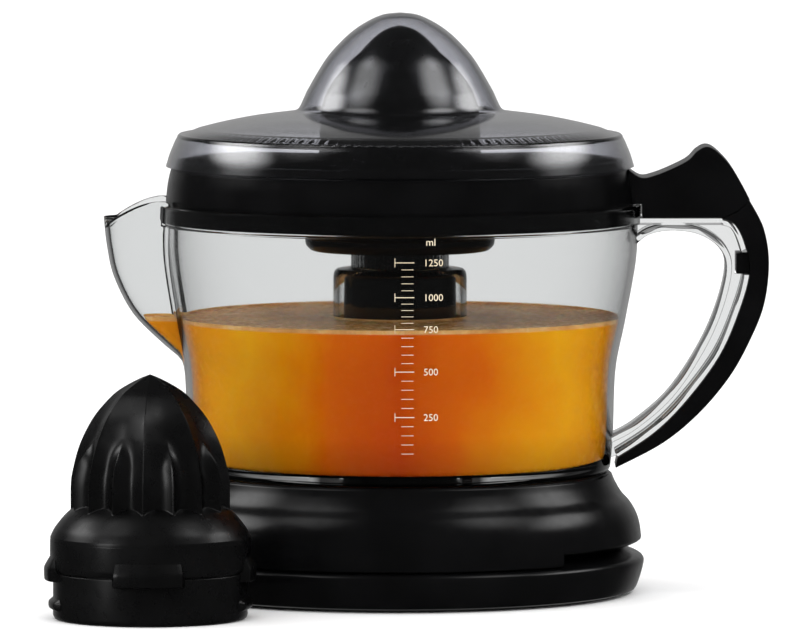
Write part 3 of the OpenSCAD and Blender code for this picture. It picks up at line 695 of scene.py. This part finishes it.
def juice():
    """Juice up to the surface, also in the foot of the spout, with a ripple and a meniscus."""
    gap = 0.12
    steps_out = 44

    def surface(r, low, high, angle):
        edge = min(r - low, high - r)
        x, y = r * math.cos(angle), r * math.sin(angle)
        ripple = 0.5 * noise.noise(Vector((x / 19, y / 19, 0.4)))
        ripple += 0.2 * noise.noise(Vector((x / 6, y / 6, 2)))
        return JUICE_H + ripple * ease(edge, 0, 6) + 0.9 * math.exp(-max(edge, 0) / 1.1)

    loops = []
    for a in jug_angles():
        column = [(inner_wall(a, h) - gap, h) for h in spaced(5.5, JUICE_H - 1, 40)]
        low, high = COLUMN_R + gap, inner_wall(a, JUICE_H) - gap
        top = []
        for i in range(steps_out + 1):
            t = 0.5 - 0.5 * math.cos(math.pi * i / steps_out)
            r = high + (low - high) * t
            top.append((r, surface(r, low, high, a)))
        r5 = column[0][0]
        floor = [(COLUMN_R + gap, 4.8), (COLUMN_R + 1, 3.2), (COLUMN_R + 3, 2.6), (40, 2.6), (60, 2.6),
                 (r5 - 3.6, 2.6), (r5 - 2.2, 2.75), (r5 - 0.9, 3.4), (r5 - 0.2, 4.5)]
        loops.append([around(r, a, JUG_Z + h) for r, h in column + top + floor])
    return skin(loops)


piece("jug_clear", jug(), clear, "pitcher", ["jug"])
piece("scale_marks", scale_marks(), print_gold, "pitcher")
piece("juice", juice(), juice_orange, "pitcher")


def cover():
    """The black grip: a shell over the web, with its clip through the web's window."""
    outer = prism(GRIP + [Vector((127.4, JUG_Z + 97.8))] + BACK[::-1], GRIP_W, 2.6, 5)
    inner_back = shifted([q for q in BACK if JUG_Z + 10 < q.y < JUG_Z + 84], -2.6)
    inner_grip = [q for q in GRIP if JUG_Z + 16 < q.y < JUG_Z + 84]
    hollow = prism(inner_grip + inner_back[::-1], GRIP_W - 5)
    clip = block((126.8, -9.5, JUG_Z + 74.2), (136.2, 9.5, JUG_Z + 82.0), 0.4)
    return merged(carved(outer, "DIFFERENCE", hollow), clip)


def neck_sleeve():
    """A ribbed black sleeve that lines the clear neck."""
    low, high = JUG_Z + COLUMN_H - 1.8, JUG_Z + NECK_H - 2.4
    outline = rounded([(NECK_R - 2.4, low, 0.2), (NECK_R - 2.4, high, 0.2), (NECK_R - 3.6, high),
                       (NECK_R - 3.6, low)])

    def ribbed(r, _, angle):
        return r - (0.35 if math.cos(45 * angle) < 0 and r > NECK_R - 3 else 0)

    return lathe(outline, 360, move=ribbed)


piece("neck_sleeve", neck_sleeve(), black_satin, "pitcher")
piece("handle_grip", cover(), black_gloss, "pitcher", ["handle_cover"])


# ---------------------------------------------------------------- strainer

SIEVE_SLOTS = 48


def strainer():
    """The dish with its sieve slots, its hub, and the arm that lies on the handle."""
    seat = JUG_TOP - 6.8
    well = JUG_TOP - 17.7
    hub = JUG_TOP - 2.7
    band = smooth([(RIM_R - 2.55, JUG_TOP + 1.3), (RIM_R - 3.3, JUG_TOP + 8),
                   (RIM_R - 4.5, BAND_TOP - 0.7)], 6)
    outline = rounded(
        [(RIM_R - 2.8, seat, 0.5), (RIM_R - 2.8, JUG_TOP + 0.6)] + [(q.x, q.y) for q in band]
        + [(RIM_R - 5.0, BAND_TOP, 0.4), (RIM_R - 6.6, BAND_TOP, 0.3), (RIM_R - 6.8, BAND_TOP + 3, 0.5),
           (RIM_R - 8.6, BAND_TOP + 3, 0.5), (RIM_R - 8.6, BAND_TOP - 1, 1), (RIM_R - 7, BAND_TOP - 4, 1),
           (RIM_R - 5.2, JUG_TOP + 1.2, 1), (RIM_R - 5.2, seat + 5, 1.5), (RIM_R - 7, seat + 2.6, 1.5),
           (37, well + 7.9, 0.8), (34.4, well + 6.4, 0.8), (33.6, well + 5, 0.8), (33.6, well + 3.2, 1),
           (32.6, well + 2.2, 0.6), (NECK_R + 2.6, well + 2.2, 0.8), (NECK_R + 2.6, hub, 0.8),
           (12.3, hub, 0.3), (12.3, hub - 1.8), (NECK_R + 0.4, hub - 1.8), (NECK_R + 0.4, well),
           (33.4, well, 1.2), (35.8, well + 2.4, 1.6), (35.8, well + 5, 0.5), (38, well + 5.7, 0.8),
           (RIM_R - 7, seat, 0.5)])
    slots = []
    for i in range(SIEVE_SLOTS):
        a = 2 * math.pi * i / SIEVE_SLOTS
        cutter = block((42, -0.9, well), (62, 0.9, well + 16))
        bmesh.ops.rotate(cutter, verts=cutter.verts, cent=(0, 0, 0), matrix=Matrix.Rotation(a, 3, "Z"))
        slots.append(cutter)
    top = smooth([(85.9, 13.6), (90.8, 10.5), (95.6, 11.2), (102.2, 13.8), (108.4, 17), (111.8, 20.4),
                  (115.3, 22.1), (118.8, 20.8), (124, 15.6), (128.4, 8.6), (131.8, 2.1)], 6)
    arm_outline = [(q.x, JUG_TOP + q.y) for q in top] + [
        (127.4, JUG_TOP - 2), (121.4, JUG_TOP - 4.7), (91.3, JUG_TOP - 4.7), (91.3, JUG_TOP + 0.5),
        (85.9, JUG_TOP + 0.5)]
    arm = prism(arm_outline, GRIP_W, 2.2, 5)
    dish = carved(lathe(outline, 288), "DIFFERENCE", merged(*slots))
    return carved(dish, "UNION", arm)


piece("strainer_bowl", strainer(), black_gloss, "pulp_strainer", ["strainer"])


# ---------------------------------------------------------------- lid

def lid():
    """A thin domed lid with a bead along its brim, and fine ribs under the brim."""
    skirt = smooth([(RIM_R - 2.6, 0), (RIM_R - 4, 4.6), (RIM_R - 5.9, 9.2), (RIM_R - 6.8, 10.9)], 4)
    bead = smooth([(RIM_R - 7.0, 11.6), (RIM_R - 7.7, 12.2), (RIM_R - 8.6, 12.1), (RIM_R - 9.3, 12.0),
                   (RIM_R - 10.4, 12.5)], 4)
    brim = smooth([(RIM_R - 14.4, 14.1), (RIM_R - 23.2, 16.3), (RIM_R - 34.4, 18.5), (43, 20.3),
                   (40.2, 20.8), (38.6, 21.5), (37.6, 22.9), (36.9, 24.4)], 5)
    dome = smooth([(35.2, 28.2), (32.9, 32.3), (30.2, 36.9), (27.2, 41.4), (23.2, 46), (18.4, 50.5),
                   (13, 54.2), (6.6, 57.1), (0, 57.95)], 5)
    outside = [Vector((q.x, q.y + LID_Z)) for q in skirt + bead + brim + dome]
    inside = off_axis(shifted(outside, -1.8))
    ribs_from, ribs_to = RIM_R - 14.5, RIM_R - 11
    loops = []
    for k in range(360):
        a = 2 * math.pi * k / 360
        tooth = 0.7 * (k % 3 == 0)
        under = [Vector((q.x, q.y - (tooth if ribs_from < q.x < ribs_to and q.y > LID_Z + 9 else 0)))
                 for q in inside]
        loops.append([around(q.x, a, q.y) for q in outside + under[::-1]])
    return skin(loops)


piece("lid_smoke", lid(), smoke, "cover_lid", ["lid"], 40)


# ---------------------------------------------------------------- reamers

RIB_STEP = math.pi / 4
SPARE_TURN = math.radians(266)


def mounted_reamer():
    """The small cone: a pointed cap over broad flutes between slim wings, on a hub with a socket."""
    top = REAMER_TOP
    wing = smooth([(33.2, REAMER_Z + 4), (33, REAMER_Z + 12), (32.6, REAMER_Z + 24), (31.2, top - 30),
                   (27.6, top - 22), (21, top - 14.2), (15.4, top - 9.6), (12.4, top - 7.2), (9.2, top - 4.0),
                   (4.6, top - 1.1), (0, top)], 8)
    lining = smooth([(33.4, REAMER_Z), (33.4, REAMER_Z + 5), (30.6, REAMER_Z + 14), (29, REAMER_Z + 26),
                     (27, top - 29.5), (22.6, top - 20.5), (15.4, top - 13.4)], 4)
    hollow = off_axis(shifted(lining, -2.2))

    def flute(z):
        return 4.6 * ease(z, REAMER_Z + 3, REAMER_Z + 9) * (1 - ease(z, top - 17, top - 7))

    loops = []
    for k in range(432):
        a = 2 * math.pi * k / 432
        off = abs(math.remainder(a - RIB_STEP / 2, RIB_STEP)) / (RIB_STEP / 2)
        row = [(33.4, REAMER_Z)]
        for q in wing:
            flat = 1.5 / max(q.x, 4)
            across = max(off - flat, 0) / (1 - flat)
            row.append((q.x - flute(q.y) * math.sin(across * math.pi / 2) ** 0.6 * min(q.x / 14, 1), q.y))
        row += [(0, top - 17)] + [(q.x, q.y) for q in hollow[::-1]]
        loops.append([around(r, a, z) for r, z in row])
    cone = skin(loops)
    hub = lathe(rounded([(0, REAMER_Z - 2.5), (7.95, REAMER_Z - 2.5, 0.4), (7.95, REAMER_Z + 9.7),
                         (12, REAMER_Z + 9.7, 0.4), (12, top - 14.5), (0, top - 14.5)]), 96)
    socket = rod(5.6, (0, 0, REAMER_Z - 4), (0, 0, REAMER_Z + 21.5), 6)
    return merged(cone, carved(hub, "DIFFERENCE", socket))


def spare_reamer():
    """The large cone: full and short ribs, scalloped flutes, a stepped collar and lugs."""
    h = SPARE_H
    envelope = smooth([(29.7, 39), (29.6, 50), (28.5, h - 33.7), (26.7, h - 27.3), (23.9, h - 20.9),
                       (20, h - 14.5), (14.4, h - 8.2), (10.3, h - 5), (4.2, h - 1.7), (0, h)], 10)
    shoulder = smooth([(36.9, 30.2), (35.3, 33.4), (32.6, 36.9), (30.2, 39.4), (28, 41.0), (25.2, 42.3),
                       (20, 43.6)], 6)
    heights = spaced(30.2, 44, 60) + spaced(44.5, h - 12, 60) + spaced(h - 11.6, h - 0.02, 44)

    def cone(angle, z):
        r = at_height(envelope, z)
        turn = angle - SPARE_TURN
        major = abs(math.remainder(turn, RIB_STEP)) / (RIB_STEP / 2)
        minor = abs(math.remainder(turn, RIB_STEP / 2)) / (RIB_STEP / 4)
        short = 1 - ease(z, h - 34, h - 22)
        wide = math.sin(min(major, 1) * math.pi / 2) ** 0.8
        narrow = math.sin(min(minor, 1) * math.pi / 2) ** 0.8
        deep = wide * (1 - short) + narrow * short * (0.84 + 0.16 * wide)
        return r - 4.1 * (1 - 0.8 * ease(z, h - 28, h - 2)) * deep * min(r / 9, 1)

    collar = rounded([(30.6, 0, 0.4), (35.3, 0, 0.6), (35.9, 1.4, 0.4), (35.9, 16.9, 0.3), (35.4, 17.3, 0.2),
                      (36.4, 17.9, 0.4), (37.0, 19.4, 0.6), (37.0, 29.4, 0.8)])
    lining = [(30.6, 29), (29.6, 32), (25, 38.4), (22.6, 43), (22.0, 52), (20, h - 30),
              (14, h - 16), (5, h - 7), (0, h - 5)]
    loops = []
    for k in range(480):
        a = 2 * math.pi * k / 480
        row = [(q.x, q.y) for q in collar]
        row += [(max(at_height(shoulder, z), cone(a, z)) if z < shoulder[-1].y else cone(a, z), z)
                for z in heights]
        row += [(0, h)] + lining[::-1]
        loops.append([around(r, a, z, SPARE_X, SPARE_Y) for r, z in row])
    lugs = []
    root = 35.2
    for quarter in range(4):
        middle = math.radians(90 * quarter)
        shapes = [(22, [(35, 14), (39.1, 14.5, 0.5), (39.3, 19, 0.9), (36.5, 23.9), (35, 24)])]
        if quarter % 2 == 0:
            shapes.append((25, [(35, 2.8), (37.6, 4.3, 0.6), (37.6, 6.5, 0.6), (35, 8.5)]))
        for degrees, section in shapes:
            half = math.radians(degrees)
            arcs = []
            for a in spaced(middle - half, middle + half, 30):
                out = 0.1 + 0.9 * (1 - ease(abs(a - middle), half * 0.84, half))
                arcs.append([around(min(q.x, root) + max(q.x - root, 0) * out, a, q.y, SPARE_X, SPARE_Y)
                             for q in rounded(section, 3)])
            lugs.append(skin(arcs, wrap=False, caps=True))
    return merged(skin(loops), *lugs)


piece("cone_small", mounted_reamer(), cone_black, "reamer", ["small_reamer"], 40)
large_cone = piece("cone_large", spare_reamer(), black_satin, "spare_reamer",
                   ["large_reamer"], 40)


# ---------------------------------------------------------------- parts shown in their CAD shapes

FINISHES = {
    "rubber_foot": rubber, "cord_gland": rubber, "cover_screws": steel, "gearbox_plate": plated,
    "plate_screws": steel, "stator_core": laminated, "stator_coil": copper, "stator_screws": steel,
    "rotor_bracket": brass, "spindle_bush": bronze, "tower_bush": bronze, "idler_pin": steel,
    "micro_switch": switch_black, "rotor_magnet": ferrite, "rotor_shaft": steel,
    "rotor_pinion": white_acetal, "idler_gear": white_acetal, "output_gear": ivory_acetal,
    "drive_spindle": steel, "spindle_clip": steel, "return_spring": steel, "switch_plunger": red_plastic,
    "guide_collar": grey_acetal, "thrust_washer": ivory_acetal}
for node, finish in FINISHES.items():
    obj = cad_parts[node]
    obj.data.materials.clear()
    obj.data.materials.append(finish)


# ---------------------------------------------------------------- stage, light and camera

def stage():
    """A wide pale floor, left out of what glossy and clear parts mirror or show."""
    look = Look("pale_floor", (0.9, 0.9, 0.9), 0.6)
    look.colour(look.ramp(look.noise(3), (0.3, (0.885, 0.885, 0.89)), (0.7, (0.91, 0.91, 0.91))))
    bm = bmesh.new()
    bmesh.ops.create_grid(bm, x_segments=8, y_segments=8, size=14)
    mesh = bpy.data.meshes.new("floor")
    bm.to_mesh(mesh)
    bm.free()
    obj = bpy.data.objects.new("floor", mesh)
    obj.location.z = -0.0002
    mesh.materials.append(look.mat)
    bpy.context.scene.collection.objects.link(obj)
    obj.visible_glossy = obj.visible_transmission = False


def softbox(name, place, target, size, watts, mirrored=True, only=None):
    """A rectangular lamp that fades to its edges. It lights the whole object, or one piece only."""
    light = bpy.data.lights.new(name, "AREA")
    light.shape = "RECTANGLE"
    light.size, light.size_y = size
    light.energy = watts
    light.use_nodes = True
    nodes, links = light.node_tree.nodes, light.node_tree.links
    spot = nodes.new("ShaderNodeVectorMath")
    spot.operation = "DISTANCE"
    spot.inputs[1].default_value = (0.5, 0.5, 0)
    links.new(nodes.new("ShaderNodeNewGeometry").outputs["Parametric"], spot.inputs[0])
    fade = nodes.new("ShaderNodeMapRange")
    fade.interpolation_type = "SMOOTHSTEP"
    for key, value in (("From Min", 0.1), ("From Max", 0.52), ("To Min", 1.6), ("To Max", 0.0)):
        fade.inputs[key].default_value = value
    links.new(spot.outputs["Value"], fade.inputs["Value"])
    links.new(fade.outputs["Result"], nodes["Emission"].inputs["Strength"])
    obj = bpy.data.objects.new(name, light)
    obj.location = place
    obj.rotation_euler = (Vector(target) - Vector(place)).to_track_quat("-Z", "Y").to_euler()
    obj.visible_glossy = obj.visible_transmission = mirrored
    if only:
        lit = bpy.data.collections.new(name + "_lit")
        lit.objects.link(only)
        obj.light_linking.receiver_collection = lit
    bpy.context.scene.collection.objects.link(obj)


def camera(distance=3.99, tilt=4.0, aim=0.1026, lens=475):
    """A long lens on the side of the scale, tilted down by a few degrees."""
    cam = bpy.data.cameras.new("camera")
    cam.lens = lens
    cam.sensor_width = 36
    cam.clip_end = 60
    obj = bpy.data.objects.new("camera", cam)
    t = math.radians(tilt)
    obj.location = (0, -distance * math.cos(t), aim + distance * math.sin(t))
    obj.rotation_euler = (math.radians(90) - t, 0, 0)
    bpy.context.scene.collection.objects.link(obj)
    bpy.context.scene.camera = obj


def surroundings():
    """White where the camera looks past the object, dim where a glossy surface mirrors it."""
    world = bpy.data.worlds.new("studio")
    world.use_nodes = True
    nodes, links = world.node_tree.nodes, world.node_tree.links
    path = nodes.new("ShaderNodeLightPath")

    def math_node(operation, a, b):
        n = nodes.new("ShaderNodeMath")
        n.operation = operation
        for value, socket in zip((a, b), n.inputs):
            if isinstance(value, float):
                socket.default_value = value
            else:
                links.new(value, socket)
        return n.outputs["Value"]

    scattered = math_node("GREATER_THAN", path.outputs["Diffuse Depth"], 0.5)
    level = math_node("MULTIPLY", scattered, 1.6)
    level = math_node("MAXIMUM", level, math_node("MULTIPLY", path.outputs["Is Transmission Ray"], 0.86))
    level = math_node("MULTIPLY", level, math_node("LESS_THAN", path.outputs["Glossy Depth"], 0.5))
    level = math_node("MAXIMUM", level, path.outputs["Is Camera Ray"])
    axes = nodes.new("ShaderNodeSeparateXYZ")
    links.new(nodes.new("ShaderNodeTexCoord").outputs["Generated"], axes.inputs["Vector"])
    behind = nodes.new("ShaderNodeMapRange")
    for key, value in (("From Min", 0.72), ("From Max", 0.97), ("To Min", 0.03), ("To Max", 0.32)):
        behind.inputs[key].default_value = value
    links.new(axes.outputs["Y"], behind.inputs["Value"])
    links.new(math_node("MAXIMUM", level, behind.outputs["Result"]), nodes["Background"].inputs["Strength"])
    nodes["Background"].inputs["Color"].default_value = (1, 1, 1, 1)
    world.cycles.sampling_method = "NONE"
    bpy.context.scene.world = world


surroundings()
bpy.context.scene.view_settings.view_transform = "Standard"
stage()
softbox("left_rim", (-1.1, 0.15, 0.8), (0, 0, 0.12), (1.2, 0.65), 6)
softbox("right_rim", (1.1, 0.15, 0.8), (0, 0, 0.12), (1.2, 0.65), 5)
softbox("left_high", (-0.7, -0.35, 1.1), (0, 0, 0.08), (0.9, 0.8), 1.6)
softbox("right_high", (0.7, -0.35, 1.1), (0, 0, 0.08), (0.9, 0.8), 2.4)
softbox("spare_strip", (-0.75, -0.62, 0.3), (SPARE_X * MM, SPARE_Y * MM, 0.05), (0.35, 0.8), 2.6,
        only=large_cone)
softbox("overhead", (0, -0.2, 1.6), (0, 0, 0.1), (0.9, 0.5), 6, False)
camera()
